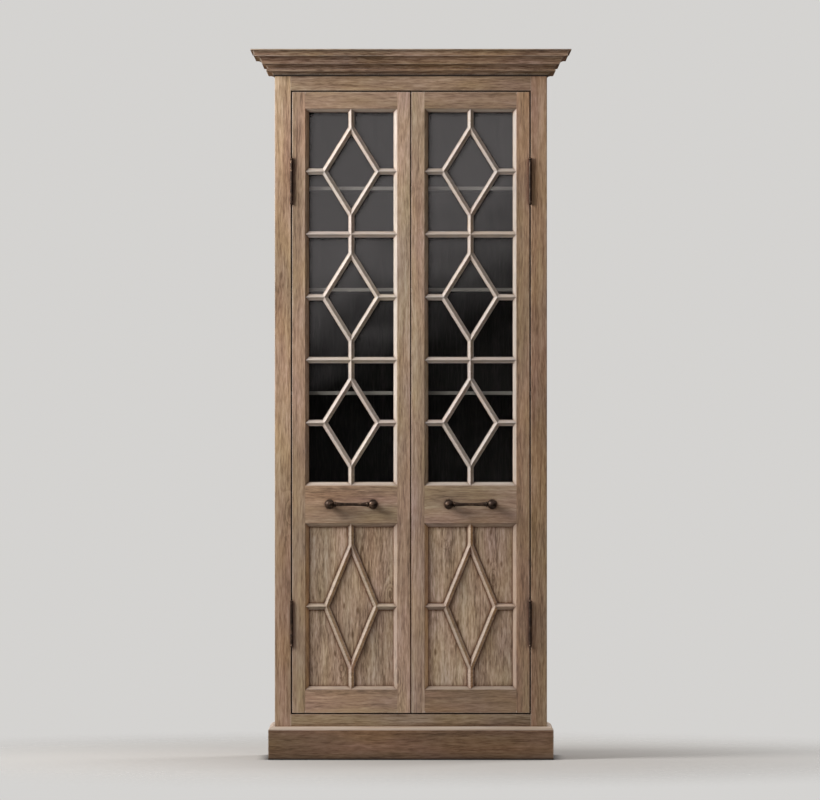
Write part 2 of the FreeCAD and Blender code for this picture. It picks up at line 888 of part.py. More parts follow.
mitred_moulding("crown", crown_outline(), crown_projection, crown_foot, crown_height)
mitred_moulding("plinth", plinth_outline(), plinth_thickness, 0, plinth_height)
make_case()
make_face_frame()
make_shelves()
case_side = {}
for side, word in ((-1, "left"), (1, "right")):
    make_door(side, word)
    make_pull(side, word)
    for name, solids in make_hinges(side, word).items():
        case_side[name] = case_side.get(name, []) + solids
for name, solids in case_side.items():
    parts[name] = Part.makeCompound(solids)
make_catches()

os.makedirs("parts", exist_ok=True)
for name, shape in parts.items():
    if shape.ShapeType == "Compound" and len(shape.Solids) == 1:
        shape = shape.Solids[0]
    state = "valid" if shape.isValid() else "NOT VALID"
    print(name, len(shape.Solids), "solid", round(shape.Volume / 1000), "cm3", state)
    shape.exportStep(os.path.join("parts", name + ".step"))
print(len(parts), "nodes")
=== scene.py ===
import json
import math
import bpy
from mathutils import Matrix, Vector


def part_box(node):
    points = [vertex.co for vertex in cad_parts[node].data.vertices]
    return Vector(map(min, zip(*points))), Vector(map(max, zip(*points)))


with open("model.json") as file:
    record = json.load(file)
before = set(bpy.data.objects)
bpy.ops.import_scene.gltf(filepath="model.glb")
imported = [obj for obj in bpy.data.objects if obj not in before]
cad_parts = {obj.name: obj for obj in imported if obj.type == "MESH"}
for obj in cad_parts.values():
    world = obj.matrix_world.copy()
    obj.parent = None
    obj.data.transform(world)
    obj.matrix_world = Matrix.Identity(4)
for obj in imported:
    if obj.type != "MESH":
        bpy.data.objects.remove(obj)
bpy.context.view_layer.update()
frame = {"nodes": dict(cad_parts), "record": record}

from types import SimpleNamespace

import bpy
from mathutils import Vector

# Finishes, light and camera for a tall two-door oak display cabinet. Lengths are in metres.

# Photograph's viewpoint
IMAGE_WIDTH = 820
CAMERA_DISTANCE = 28.0
CAMERA_HEIGHT = 1.214
CAMERA_ACROSS = -0.003
FOCAL_PIXELS = 8294.0
SENSOR_WIDTH = 36.0

# Lamps
KEY_PLACE = (-3.1, -1.5, 2.85)
KEY_TARGET = (0.0, -0.15, 1.25)
KEY_SIZE = 2.0
KEY_POWER = 182.0
KEY_COLOUR = (1.0, 0.97, 0.94)
FILL_PLACE = (1.6, -4.2, 1.7)
FILL_SIZE = 3.0
FILL_POWER = 8.0
FILL_COLOUR = (1.0, 0.96, 0.92)
REAR_PLACE = (3.2, 2.6, 2.9)
REAR_TARGET = (0.2, 0.1, 1.1)
REAR_SIZE = 2.2
REAR_POWER = 110.0

# Surroundings
SKY_LOW = 0.03
SKY_HIGH = 0.42
SKY_HEIGHTS = (-0.1, 1.0)
SKY_COLOUR = (1.0, 0.95, 0.9)
BACKDROP = (0.66, 0.65, 0.635)

# What the panes mirror: dark near the floor, light from the ceiling down to a soft leaning edge
MIRROR_DARK_SLOPE = 0.004
MIRROR_LIGHT_SLOPE = 0.024
MIRROR_LEAN = -0.4
ROOM_DARK = (0.012, 0.01, 0.01)
ROOM_LIGHT = (1.12, 1.05, 1.05)

# Floor, with a painted contact shadow close to the plinth, which fades into the backdrop
FLOOR_COLOUR = (0.505, 0.5, 0.49)
FLOOR_HALF = 9.0
FLOOR_FADE_START = 0.6
FLOOR_FADE_END = 2.4
CONTACT_REACH = 0.045
CONTACT_DARKEST = 0.2

# Wood colours, linear
OAK_DARK = (0.155, 0.098, 0.062)
OAK_MIDDLE = (0.335, 0.232, 0.158)
OAK_LIGHT = (0.47, 0.36, 0.27)
OAK = (OAK_DARK, OAK_MIDDLE, OAK_LIGHT)
STAIN_DARK = (0.004, 0.0034, 0.0032)
STAIN_MIDDLE = (0.011, 0.009, 0.0085)
STAIN_LIGHT = (0.028, 0.024, 0.022)
STAIN = (STAIN_DARK, STAIN_MIDDLE, STAIN_LIGHT)
RAMP_PLACES = (0.05, 0.46, 0.85)
# Colours of rubbed edges and of the painted highlight on slopes that face the key lamp
OAK_WEAR_AND_HIGHLIGHT = (0.60, 0.53, 0.46)
STICKING_WEAR_AND_HIGHLIGHT = (0.66, 0.64, 0.62)
BAR_WEAR_AND_HIGHLIGHT = (0.565, 0.565, 0.585)
SHELF_EDGE = (0.26, 0.235, 0.22)
# Painted shadow in the groove at the crown's foot
QUIRK_SHADOW = (0.03, 0.022, 0.017)

# What cracks, painted shade in creases and seams, and painted warm light on shaded slopes multiply the
# wood's colour by
CHECK_GRIME = (0.36, 0.27, 0.2)
CREASE_SHADE = (0.44, 0.29, 0.18)
SEAM_SHADE = (0.31, 0.15, 0.055)
WARM_SHADE = (1.5, 1.32, 1.08)

# Casts that drift over a board, in pairs that pass into each other
OLIVE_CAST = (0.96, 1.015, 0.95)
PINK_CAST = (1.05, 0.98, 1.0)
GOLDEN_CAST = (1.01, 1.0, 0.9)
SILVER_CAST = (0.99, 1.0, 1.1)

# The wood's noise: features per metre along the grain and across it, detail and roughness
LAYERS = {
    "sway": (0.8, 4.0, 2.0, 0.5),
    "band": (1.1, 24.0, 2.0, 0.5),
    "streak": (3.4, 98.0, 3.0, 0.62),
    "fleck": (22.0, 200.0, 3.0, 0.65),
    "fine": (40.0, 420.0, 2.0, 0.6),
    "pore": (26.0, 1000.0, 1.0, 0.5),
    "hue": (1.6, 14.0, 2.0, 0.5),
    "patch": (5.0, 15.0, 1.0, 0.5),
    "check": (2.6, 150.0, 1.0, 0.5),
    "cloud": (1.8, 5.0, 2.0, 0.5),
}

# How much noises, growth rings and knots change how pale the wood is, and how dark pores, checks
# and small knots are
BAND_WEIGHT = 0.8
STREAK_WEIGHT = 0.75
FLECK_WEIGHT = 1.5
FINE_WEIGHT = 0.5
RING_WEIGHT = 0.1
KNOT_RING_WEIGHT = 0.34
HEART_WEIGHT = -0.3
PORE_DEPTH = 0.4
CHECK_DEPTH = 0.75
EYE_DEPTH = 0.85

# Growth rings and knots
BOARD_SHIFT = 3.1
RINGS_PER_METRE = 135.0
RING_TAPER = 0.012
RING_SWAY = 5.0
RING_KNOT = 3.0
RING_FALL = 1.5
LANE_SWAY = 0.05
LANE_KNOT = 0.012
EYE_CELLS = (6.5, 16.0, 1.0)

# What changes with height: slopes go from painted warm light to more painted highlight, boards get a
# painted light falloff that darkens them lower down, and the plinth gets painted shade at its foot
PAINTED_LIGHT_LEVELS = (0.8, 0.93)
LIGHT_FALLOFF_LEVELS = (0.2, 2.3)
LIGHT_FALLOFF_FACTORS = (0.9, 1.14)
LOW_HIGHLIGHT = 0.55
FOOT_SHADE_HEIGHT = 0.034
FOOT_SHADE_FACTOR = 0.58
FOOT_SHADOW_LEVELS = (0.002, 0.007)
FOOT_SHADOW_FACTOR = 0.12

# Edges, corners and how far painted shade reaches out of creases and seams
EASED_EDGE = 0.0012
RUBBED_EDGE = 0.0035
FRONT_EDGE = 0.0015
RUBBED_RIM = 0.008
QUIRK_HEIGHT = 0.0052
SHELF_EDGE_COVER = 0.85
CREASE_SHADE_REACH = 0.014
STILE_SHADE_REACH = 0.006
CROWN_SHADE_REACH = 0.02
SEAM_SHADE_REACH = 0.014

# Between which values each field goes from none of its effect to all of it
KNOT_REACH = (0.3, 0.04)
KNOT_HEART = (0.86, 1.0)
PORE_RANGE = (0.38, 0.28)
CHECK_RANGE = (0.3, 0.22)
EYE_REACH = (0.1, 0.035)
EYE_SHARE = 0.5
HUE_RANGE = (0.34, 0.66)
PATCH_RANGE = (0.3, 0.7)
STREAK_RANGE = (0.3, 0.7)
CLOUD_RANGE = (0.32, 0.68)
CLOUD_FACTORS = (0.8, 1.2)
RUB_TURN = (0.12, 0.5)
RUB_SCALE = 38.0
RUB_PATCHES = (0.3, 0.62)
RUB_FACTORS = (0.35, 1.0)

# Openness where painted shade in creases and seams, on the panes and on the floor is full and gone
CREASE_OPENNESS = (0.35, 0.9)
SEAM_OPENNESS = (0.58, 0.98)
PANE_OPENNESS = (0.5, 0.85)
FLOOR_OPENNESS = (0.5, 1.0)

# How much of a face's direction points forwards, right, left or up where it starts to count, and
# where it counts in full, as a slope that looks that way
SLOPE_FRONT = (0.93, 0.8)
SLOPE_RIGHT = (0.2, 0.5)
SLOPE_LEFT = (0.3, -0.3)
SLOPE_UP = (0.1, 0.4)
TOP_UP = (0.12, 0.4)

# Relief and roughness of the wood
PORE_RELIEF = -1.0
RING_RELIEF = -0.3
FINE_RELIEF = 0.9
RELIEF_STRENGTH = 0.35
RELIEF_DEPTH = 0.0006
ROUGH_RANGE = (0.2, 0.8)
WOOD_ROUGHNESS = (0.66, 0.52)

# Iron, steel and moulded shell: colours along a noise, from its low places to its high ones
IRON_COLOURS = ((0.3, (0.012, 0.007, 0.005)), (0.52, (0.038, 0.023, 0.015)), (0.75, (0.15, 0.095, 0.062)))
IRON_PATCHES = 55.0
IRON_PITS = 420.0
IRON_PATCH_RANGE = (0.3, 0.7)
IRON_ROUGHNESS = (0.46, 0.24)
IRON_METALLIC = 0.75
IRON_EDGE = 0.0015
IRON_PIT_DEPTH = 0.0004
STEEL_COLOURS = ((0.3, (0.28, 0.26, 0.24)), (0.7, (0.45, 0.43, 0.4)))
STEEL_BRUSHING = (900.0, 900.0, 60.0)
STEEL_ROUGHNESS = 0.38
SHELL_COLOURS = ((0.3, (0.05, 0.035, 0.026)), (0.7, (0.075, 0.052, 0.038)))
SHELL_GRAIN = 900.0
SHELL_ROUGHNESS = 0.5
FINE_DEPTH = 0.0002

# Glass, and the painted shadow that dims its reflection right of and below the bars, away from the key
PANE_COLOUR = (0.93, 0.955, 0.94)
PANE_SHADOW = (0.86, 0.88, 0.87)
PANE_SHADED_TINT = (0.03, 0.02, 0.02)
PANE_IOR = 1.7
PANE_WAVES = 5.0
PANE_WAVE_DEPTH = 0.0006
PANE_SHADE_TILT = (-0.45, -0.75, 0.48)
PANE_REACH = 0.022

# Where the pith lies from a board's middle: aside, how that swings from piece to piece, and behind
WIDE_CUT = {"aside": 0.0, "swing": 0.03, "turn": 2.3, "behind": 0.075}
NARROW_CUT = {"aside": 0.16, "swing": 0.05, "turn": 1.7, "behind": 0.11}


# A small language for node graphs

class Graph:
    """The nodes of one material, or of the world."""

    def __init__(self, owner, output):
        owner.use_nodes = True
        self.owner = owner
        self.tree = owner.node_tree
        self.tree.nodes.clear()
        self.output = self.tree.nodes.new("ShaderNode" + output)

    def put(self, socket, value):
        if isinstance(value, bpy.types.NodeSocket):
            self.tree.links.new(value, socket)
        elif isinstance(value, (tuple, list)) and len(value) == 3 and socket.type == "RGBA":
            socket.default_value = (*value, 1.0)
        else:
            socket.default_value = value

    def add(self, kind, inputs=None, **settings):
        node = self.tree.nodes.new("ShaderNode" + kind)
        for key, value in settings.items():
            setattr(node, key, value)
        for key, value in (inputs or {}).items():
            self.put(node.inputs[key], value)
        return node

    def math(self, operation, first, second=0.0, third=0.0):
        return self.add("Math", {0: first, 1: second, 2: third}, operation=operation).outputs[0]

    def product(self, first, *others):
        for other in others:
            first = self.math("MULTIPLY", first, other)
        return first

    def vector(self, operation, first, second=(0, 0, 0)):
        node = self.add("VectorMath", {0: first, 1: second}, operation=operation)
        return node.outputs["Value" if operation == "LENGTH" else "Vector"]

    def parts(self, vector):
        return self.add("SeparateXYZ", {0: vector}).outputs

    def place(self):
        return self.add("TexCoord").outputs["Object"]

    def noise(self, vector, scale, detail=2.0, roughness=0.5):
        node = self.add("TexNoise", {"Vector": vector, "Scale": scale, "Detail": detail,
                                     "Roughness": roughness})
        return node.outputs["Fac"]

    def span(self, value, low, high, to_low=0.0, to_high=1.0, **settings):
        """The value carried from between low and high to between two others, and held at their ends."""
        node = self.add("MapRange", {"Value": value, "From Min": low, "From Max": high,
                                     "To Min": to_low, "To Max": to_high}, **settings)
        return node.outputs["Result"]

    def blend(self, amount, first, second, mode="MIX"):
        node = self.add("Mix", data_type="RGBA", blend_type=mode)
        for index, value in ((0, amount), (6, first), (7, second)):
            self.put(node.inputs[index], value)
        return node.outputs[2]

    def times(self, colour, factor):
        return self.blend(1.0, colour, factor, "MULTIPLY")

    def tinge(self, amount, colour, factor):
        """The colour multiplied by a factor, as far as the amount says."""
        return self.blend(amount, colour, self.times(colour, factor))

    def ramp(self, value, stops):
        stops = list(stops)
        node = self.add("ValToRGB", {"Fac": value})
        elements = node.color_ramp.elements
        while len(elements) < len(stops):
            elements.new(0.5)
        for element, (place, colour) in zip(elements, stops):
            element.position = place
            element.color = (*colour, 1.0)
        return node.outputs["Color"]

    def openness(self, reach, samples, **inputs):
        """One where nothing stands within the reach, and less in corners."""
        node = self.add("AmbientOcclusion", {"Distance": reach, **inputs}, samples=samples)
        return node.outputs["AO"]

    def rounded(self, radius):
        """The surface's direction with its edges rounded."""
        return self.add("Bevel", {"Radius": radius}, samples=4).outputs["Normal"]

    def bump(self, height, strength, depth, **inputs):
        node = self.add("Bump", {"Height": height, "Strength": strength, "Distance": depth, **inputs})
        return node.outputs["Normal"]

    def mix(self, amount, first, second):
        return self.add("MixShader", {0: amount, 1: first, 2: second}).outputs[0]

    def light(self, colour, strength=1.0):
        return self.add("Background", {"Color": colour, "Strength": strength}).outputs[0]

    def finish(self, shader):
        self.tree.links.new(shader, self.output.inputs["Surface"])
        return self.owner

    def finish_coat(self, colour, rough, normal, **inputs):
        shader = self.add("BsdfPrincipled", {"Base Color": colour, "Roughness": rough, "Normal": normal,
                                             **inputs})
        return self.finish(shader.outputs["BSDF"])


def new_material(name):
    return Graph(bpy.data.materials.new(name), "OutputMaterial")


# Wood

AXES = "XYZ"

# The plainest looks that a board can have
PLAIN = {
    "tone": 1.0,  # how pale it is
    "warmth": 0.015,  # how much green it lacks, and half of how much blue
    "figure": 1.0,  # contrast of its streaks, flecks and rings
    "hue_swing": 1.0,  # strength of the casts that drift over it
    "gloss": 0.3,
    "knots": (2.3, 6.5),  # large knots per metre, along and across the grain
    "eyes": False,  # small dark knots
    "length": 1.0,  # how long its streaks and flecks are
    "grime": CREASE_SHADE_REACH,  # how far painted shade reaches out of its creases
    "seam": None,  # how far painted shade reaches out of the seams where it meets other pieces
    "worn": OAK_WEAR_AND_HIGHLIGHT,  # colour of its rubbed edges, and of the painted highlight on its slopes
    "edge_wear": 0.0,
    "rim": None,  # rectangle inside which its edges aren't rubbed
    # how much its slopes are painted paler where they look towards the key lamp
    "slope_wear": 0.0,
    "shade_wear": 0.0,  # share of the painted slope highlight on slopes that look right
    # how much its upward faces are made paler, as wear and as painted highlight from above
    "top_wear": 0.0,
    # whether its foot gets painted shade towards the floor
    "scuffed": False,
    "lining": None,  # axis and sign of the faces that are stained dark
    "quirk": None,  # height up to which its groove has a painted shadow
    "front_edge": None,  # depth up to which its front edge is pale
}


def grain_place(graph, along, pith, seed):
    """Coordinates in the board: along the grain, and two across it measured from the pith."""
    parts = graph.parts(graph.vector("SUBTRACT", graph.place(), tuple(pith)))
    order = [along] + [axis for axis in AXES if axis != along]
    picked = graph.add("CombineXYZ", {index: parts[AXES.index(axis)] for index, axis in enumerate(order)})
    return graph.vector("ADD", picked.outputs[0], (seed * BOARD_SHIFT, 0.0, 0.0))


def stretched(graph, place, along, across):
    return graph.vector("MULTIPLY", place, (along, across, across))


def layer(graph, name, place, length=1.0):
    along, across, detail, roughness = LAYERS[name]
    return graph.noise(stretched(graph, place, along / length, across), 1.0, detail, roughness)


def outside(graph, low, high):
    """One outside the upright rectangle from low to high, seen from the front, and nought in it."""
    parts = graph.parts(graph.place())
    tests = [graph.math(operation, parts[index], bound[index])
             for index in (0, 2) for operation, bound in (("GREATER_THAN", low), ("LESS_THAN", high))]
    return graph.math("SUBTRACT", 1.0, graph.product(*tests))


def grow(graph, place, figure, knots, length):
    """How pale the wood is from place to place, and the fields that its other features follow."""
    sway = layer(graph, "sway", place)
    knot = graph.add("TexVoronoi", {"Vector": stretched(graph, place, *knots), "Scale": 1.0})
    near = graph.span(knot.outputs["Distance"], *KNOT_REACH)
    swirl = graph.product(near, near)
    radius = graph.vector("LENGTH", graph.vector("MULTIPLY", place, (RING_TAPER, 1.0, 1.0)))
    phase = graph.math("MULTIPLY_ADD", radius, RINGS_PER_METRE, graph.product(sway, RING_SWAY))
    phase = graph.math("MULTIPLY_ADD", swirl, RING_KNOT, phase)
    ring = graph.math("POWER", graph.math("FRACT", phase), RING_FALL)

    wander = graph.add("CombineXYZ", {1: graph.product(sway, LANE_SWAY),
                                      2: graph.product(near, LANE_KNOT)})
    lane = graph.vector("ADD", place, wander.outputs[0])
    streak = layer(graph, "streak", lane, length)
    band = layer(graph, "band", lane)
    fleck = layer(graph, "fleck", lane, length)
    fine = layer(graph, "fine", lane)
    pores = graph.span(layer(graph, "pore", lane), *PORE_RANGE)

    pale = 0.5
    for noise, weight in ((streak, STREAK_WEIGHT * figure), (band, BAND_WEIGHT),
                          (fleck, FLECK_WEIGHT * figure), (fine, FINE_WEIGHT)):
        pale = graph.math("MULTIPLY_ADD", graph.math("SUBTRACT", noise, 0.5), weight, pale)
    contrast = graph.math("MULTIPLY_ADD", swirl, KNOT_RING_WEIGHT * figure, RING_WEIGHT * figure)
    pale = graph.math("SUBTRACT", pale, graph.product(ring, contrast))
    pale = graph.math("MULTIPLY_ADD", graph.span(near, *KNOT_HEART), HEART_WEIGHT, pale)
    return SimpleNamespace(place=place, lane=lane, ring=ring, streak=streak, fine=fine, pores=pores,
                           pale=pale)


def drift(graph, field, reach, casts, swing):
    """A cast that passes into the other one as the field rises over its reach."""
    first, second = (tuple(1.0 + (part - 1.0) * swing for part in cast) for cast in casts)
    return graph.blend(graph.span(field, *reach), first, second)


def colour_board(graph, growth, level, colours, looks):
    """The board's colour before wear, painted shade and highlight, with pores, drying checks, small knots
    and painted light falloff.
    """
    colour = graph.ramp(growth.pale, zip(RAMP_PLACES, colours))
    hue = layer(graph, "hue", growth.lane)
    patch = layer(graph, "patch", growth.place)
    swing = looks.hue_swing
    colour = graph.times(colour, drift(graph, hue, HUE_RANGE, (OLIVE_CAST, PINK_CAST), swing))
    colour = graph.times(colour, drift(graph, patch, PATCH_RANGE, (GOLDEN_CAST, SILVER_CAST), swing))
    colour = graph.blend(graph.product(growth.pores, PORE_DEPTH), colour, colours[0])
    checks = graph.span(layer(graph, "check", growth.lane), *CHECK_RANGE)
    colour = graph.tinge(graph.product(checks, CHECK_DEPTH), colour, CHECK_GRIME)
    if looks.eyes:
        cells = graph.vector("MULTIPLY", growth.lane, EYE_CELLS)
        cell = graph.add("TexVoronoi", {"Vector": cells, "Scale": 1.0}, voronoi_dimensions="2D")
        chosen = graph.math("GREATER_THAN", graph.parts(cell.outputs["Color"])[0], EYE_SHARE)
        eye = graph.product(graph.span(cell.outputs["Distance"], *EYE_REACH), chosen)
        colour = graph.tinge(graph.product(eye, EYE_DEPTH), colour, CHECK_GRIME)
    shade = tuple(looks.tone * (1.0 - looks.warmth * index) for index in range(3))
    colour = graph.times(colour, shade)
    # Random clouds of paler and darker wood, times a painted light falloff that darkens boards lower down
    cloud = layer(graph, "cloud", growth.place)
    graded = graph.product(graph.span(cloud, *CLOUD_RANGE, *CLOUD_FACTORS),
                          graph.span(level, *LIGHT_FALLOFF_LEVELS, *LIGHT_FALLOFF_FACTORS))
    return graph.times(colour, graded)


def rub_edges(graph, colour, growth, unshaded, looks):
    """Edges rubbed pale in patches, and only outside the rim's rectangle where there is one."""
    flat = graph.add("NewGeometry").outputs["Normal"]
    turned = graph.vector("LENGTH", graph.vector("SUBTRACT", graph.rounded(RUBBED_EDGE), flat))
    rubbed = graph.product(graph.span(turned, *RUB_TURN), unshaded)
    patchy = graph.span(graph.noise(growth.place, RUB_SCALE, 3.0), *RUB_PATCHES, *RUB_FACTORS)
    if looks.rim:
        patchy = graph.product(patchy, outside(graph, *looks.rim))
    return graph.blend(graph.product(rubbed, patchy, looks.edge_wear), colour, looks.worn)


def paint_slope_light(graph, colour, growth, unshaded, facing, level, looks):
    """Painted highlight on slopes that look left or up, towards the key lamp, and painted warm light low
    down on slopes that look right, away from it.
    """
    slope = graph.span(graph.math("ABSOLUTE", facing[1]), *SLOPE_FRONT)
    # Painted warm light: slopes that look right, away from the key lamp, are made paler and warmer below
    # the lock rail
    shaded = graph.product(slope, graph.span(facing[0], *SLOPE_RIGHT),
                           graph.span(level, *PAINTED_LIGHT_LEVELS, 1.0, 0.0))
    colour = graph.tinge(shaded, colour, WARM_SHADE)
    # Painted highlight: slopes that look left or up, towards the key lamp, are made paler, less so below
    # the lock rail
    lit = graph.math("MAXIMUM", graph.span(facing[0], *SLOPE_LEFT, looks.shade_wear, 1.0),
                     graph.span(facing[2], *SLOPE_UP))
    highlight_by_height = graph.span(level, *PAINTED_LIGHT_LEVELS, LOW_HIGHLIGHT, 1.0)
    highlight = graph.product(slope, unshaded, lit, highlight_by_height, looks.slope_wear)
    streaky = graph.product(graph.span(growth.streak, *STREAK_RANGE), graph.span(level, *PAINTED_LIGHT_LEVELS))
    return graph.blend(highlight, colour, graph.blend(streaky, OAK_WEAR_AND_HIGHLIGHT, looks.worn))


def wood(name, along, pith, seed, colours, **chosen):
    """Brushed timber: growth rings round a pith, streaks and flecks, open pores and softened edges."""
    looks = SimpleNamespace(**{**PLAIN, **chosen})
    graph = new_material(name)
    growth = grow(graph, grain_place(graph, along, pith, seed), looks.figure, looks.knots, looks.length)
    place_parts = graph.parts(graph.place())
    depth, level = place_parts[1], place_parts[2]
    facing = graph.parts(graph.add("TexCoord").outputs["Normal"])
    colour = colour_board(graph, growth, level, colours, looks)

    # Painted shade: the colour darkens in creases and corners, where ambient occlusion finds other
    # surfaces close by
    unshaded = graph.span(graph.openness(looks.grime, samples=6), *CREASE_OPENNESS)
    colour = graph.blend(unshaded, graph.times(colour, CREASE_SHADE), colour)
    if looks.edge_wear:
        colour = rub_edges(graph, colour, growth, unshaded, looks)
    if looks.slope_wear:
        colour = paint_slope_light(graph, colour, growth, unshaded, facing, level, looks)
    # Upward faces made paler: wear, and painted highlight from the light above
    if looks.top_wear:
        upward = graph.product(graph.span(facing[2], *TOP_UP), looks.top_wear)
        streaky = graph.blend(graph.span(growth.streak, *STREAK_RANGE), colours[2], looks.worn)
        colour = graph.blend(upward, colour, streaky)
    # Painted contact shadow: a dark line where the piece meets sticking, bars or panel
    if looks.seam:
        tight = graph.span(graph.openness(looks.seam, samples=4), *SEAM_OPENNESS)
        colour = graph.blend(tight, graph.times(colour, SEAM_SHADE), colour)
    # Painted contact shadow at the plinth's foot: darker towards the floor, darkest in the last few
    # millimetres
    if looks.scuffed:
        colour = graph.times(colour, graph.product(graph.span(level, 0.0, FOOT_SHADE_HEIGHT, FOOT_SHADE_FACTOR, 1.0),
                                                   graph.span(level, *FOOT_SHADOW_LEVELS, FOOT_SHADOW_FACTOR, 1.0)))
    if looks.lining:
        axis, sign = looks.lining
        inward = graph.math("GREATER_THAN", graph.product(facing[axis], sign), 0.5)
        colour = graph.blend(inward, colour, graph.ramp(growth.pale, zip(RAMP_PLACES, STAIN)))
    # Painted shadow in the groove under the crown's lowest moulding
    if looks.quirk is not None:
        colour = graph.blend(graph.math("LESS_THAN", level, looks.quirk), colour, QUIRK_SHADOW)
    if looks.front_edge is not None:
        on_edge = graph.math("LESS_THAN", depth, looks.front_edge)
        colour = graph.blend(graph.product(on_edge, SHELF_EDGE_COVER), colour, SHELF_EDGE)

    relief = graph.math("MULTIPLY_ADD", growth.pores, PORE_RELIEF, graph.product(growth.ring, RING_RELIEF))
    relief = graph.math("ADD", relief, graph.product(growth.fine, FINE_RELIEF))
    normal = graph.bump(relief, RELIEF_STRENGTH, RELIEF_DEPTH, Normal=graph.rounded(EASED_EDGE))
    rough = graph.span(growth.pale, *ROUGH_RANGE, *WOOD_ROUGHNESS)
    return graph.finish_coat(colour, rough, normal, **{"Specular IOR Level": looks.gloss})


# Metal, glass and the rest

def iron(name):
    graph = new_material(name)
    patch = graph.noise(graph.place(), IRON_PATCHES, 4.0, 0.6)
    pits = graph.noise(graph.place(), IRON_PITS, 3.0, 0.6)
    normal = graph.bump(pits, 0.4, IRON_PIT_DEPTH, Normal=graph.rounded(IRON_EDGE))
    rough = graph.span(patch, *IRON_PATCH_RANGE, *IRON_ROUGHNESS)
    return graph.finish_coat(graph.ramp(patch, IRON_COLOURS), rough, normal, Metallic=IRON_METALLIC)


def steel(name):
    graph = new_material(name)
    brushed = graph.noise(graph.vector("MULTIPLY", graph.place(), STEEL_BRUSHING), 1.0)
    normal = graph.bump(brushed, 0.2, FINE_DEPTH)
    return graph.finish_coat(graph.ramp(brushed, STEEL_COLOURS), STEEL_ROUGHNESS, normal, Metallic=1.0)


def moulded(name):
    graph = new_material(name)
    grain = graph.noise(graph.place(), SHELL_GRAIN)
    normal = graph.bump(grain, 0.25, FINE_DEPTH)
    return graph.finish_coat(graph.ramp(grain, SHELL_COLOURS), SHELL_ROUGHNESS, normal)


def glass(name):
    """Clear pane, slightly wavy, with a painted shadow dimming its reflection beside the bars. Lamps light
    the shelves through it.
    """
    graph = new_material(name)
    normal = graph.bump(graph.noise(graph.place(), PANE_WAVES, 1.0), 0.5, PANE_WAVE_DEPTH)
    # Painted shadow: ambient occlusion around a normal tilted to the upper left dims the reflection right
    # of and below the bars
    shade_tilt = graph.add("VectorTransform", {0: PANE_SHADE_TILT}, vector_type="NORMAL",
                          convert_from="OBJECT", convert_to="WORLD").outputs[0]
    unshaded = graph.span(graph.openness(PANE_REACH, samples=8, Normal=shade_tilt), *PANE_OPENNESS)
    tint = graph.blend(unshaded, PANE_SHADED_TINT, (1.0, 1.0, 1.0))
    pane = graph.add("BsdfPrincipled", {"Base Color": PANE_COLOUR, "Roughness": 0.0, "IOR": PANE_IOR,
                                        "Transmission Weight": 1.0, "Specular Tint": tint,
                                        "Normal": normal})
    clear = graph.add("BsdfTransparent", {"Color": PANE_SHADOW})
    shadow = graph.add("LightPath").outputs["Is Shadow Ray"]
    return graph.finish(graph.mix(shadow, pane.outputs["BSDF"], clear.outputs["BSDF"]))


# Which finish each piece takes

VERTICAL = ("stile", "side_panel", "back_panel", "door_panel")
RETURNS = ("crown_left", "crown_right", "plinth_left", "plinth_right")
INNER = ("ceiling_board", "fixed_deck", "cupboard_floor", "shelf", "glazing_beads")
SHELVES = ("upper_shelf", "middle_shelf", "lower_shelf", "cupboard_shelf")

# How pale each board is, and how much warmer than the plain oak
BOARD_TONES = {
    "crown": (0.87, 0.05), "plinth": (0.66, 0.125), "fretwork": (1.2, 0.0),
    "frieze": (1.16, 0.02), "frame_bottom": (0.95, 0.03), "frame_left": (1.2, 0.05),
    "frame_right": (1.02, 0.075), "left_door_hinge": (1.05, 0.045), "right_door_hinge": (0.97, 0.107),
    "left_door_meeting": (1.27, -0.01), "right_door_meeting": (1.2, -0.01),
    "left_door_top": (0.98, 0.06), "right_door_top": (0.85, 0.055),
    "left_door_lock": (1.0, 0.055), "right_door_lock": (1.08, 0.02), "left_door_bottom": (1.06, 0.05),
    "right_door_bottom": (0.745, 0.122), "left_door_panel": (1.33, -0.03),
    "right_door_panel": (1.31, -0.035), "back_panel": (0.75, 0.02), "base_back_rail": (0.7, 0.02),
}
OTHER_TONE = (1.0, 0.015)


def grain_axis(node):
    if any(word in node for word in VERTICAL):
        return "Z"
    if node in RETURNS:
        return "Y"
    return "X"


def pith_of(node, along, seed):
    """Wide boards are cut beside the pith and show arches, narrow ones farther from it."""
    low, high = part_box(node)
    cut = WIDE_CUT if "panel" in node or "board" in node else NARROW_CUT
    aside = cut["aside"] + cut["swing"] * math.sin(seed * cut["turn"])
    behind = cut["behind"]
    across = {"Z": Vector((aside, behind, 0.0)), "X": Vector((0.0, behind, aside)),
              "Y": Vector((behind, 0.0, aside))}
    return (low + high) / 2 + across[along]


def door_field(node):
    """The part of a door inside its rubbed outer edges. The edges where the doors meet aren't rubbed."""
    side = node.split("_")[0]
    boxes = [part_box(side + "_door_" + member) for member in ("hinge_stile", "meeting_stile")]
    inset = Vector((RUBBED_RIM, 0.0, RUBBED_RIM))
    low = Vector(min(box[0][axis] for box in boxes) for axis in range(3)) + inset
    high = Vector(max(box[1][axis] for box in boxes) for axis in range(3)) - inset
    meeting = high if side == "left" else low
    meeting.x = 0.0
    return low, high


def stained_wood(node, along, pith, seed):
    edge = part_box(node)[0].y + FRONT_EDGE if node in SHELVES else None
    return wood("stain_" + node, along, pith, seed, STAIN, figure=0.8, gloss=0.08, front_edge=edge)


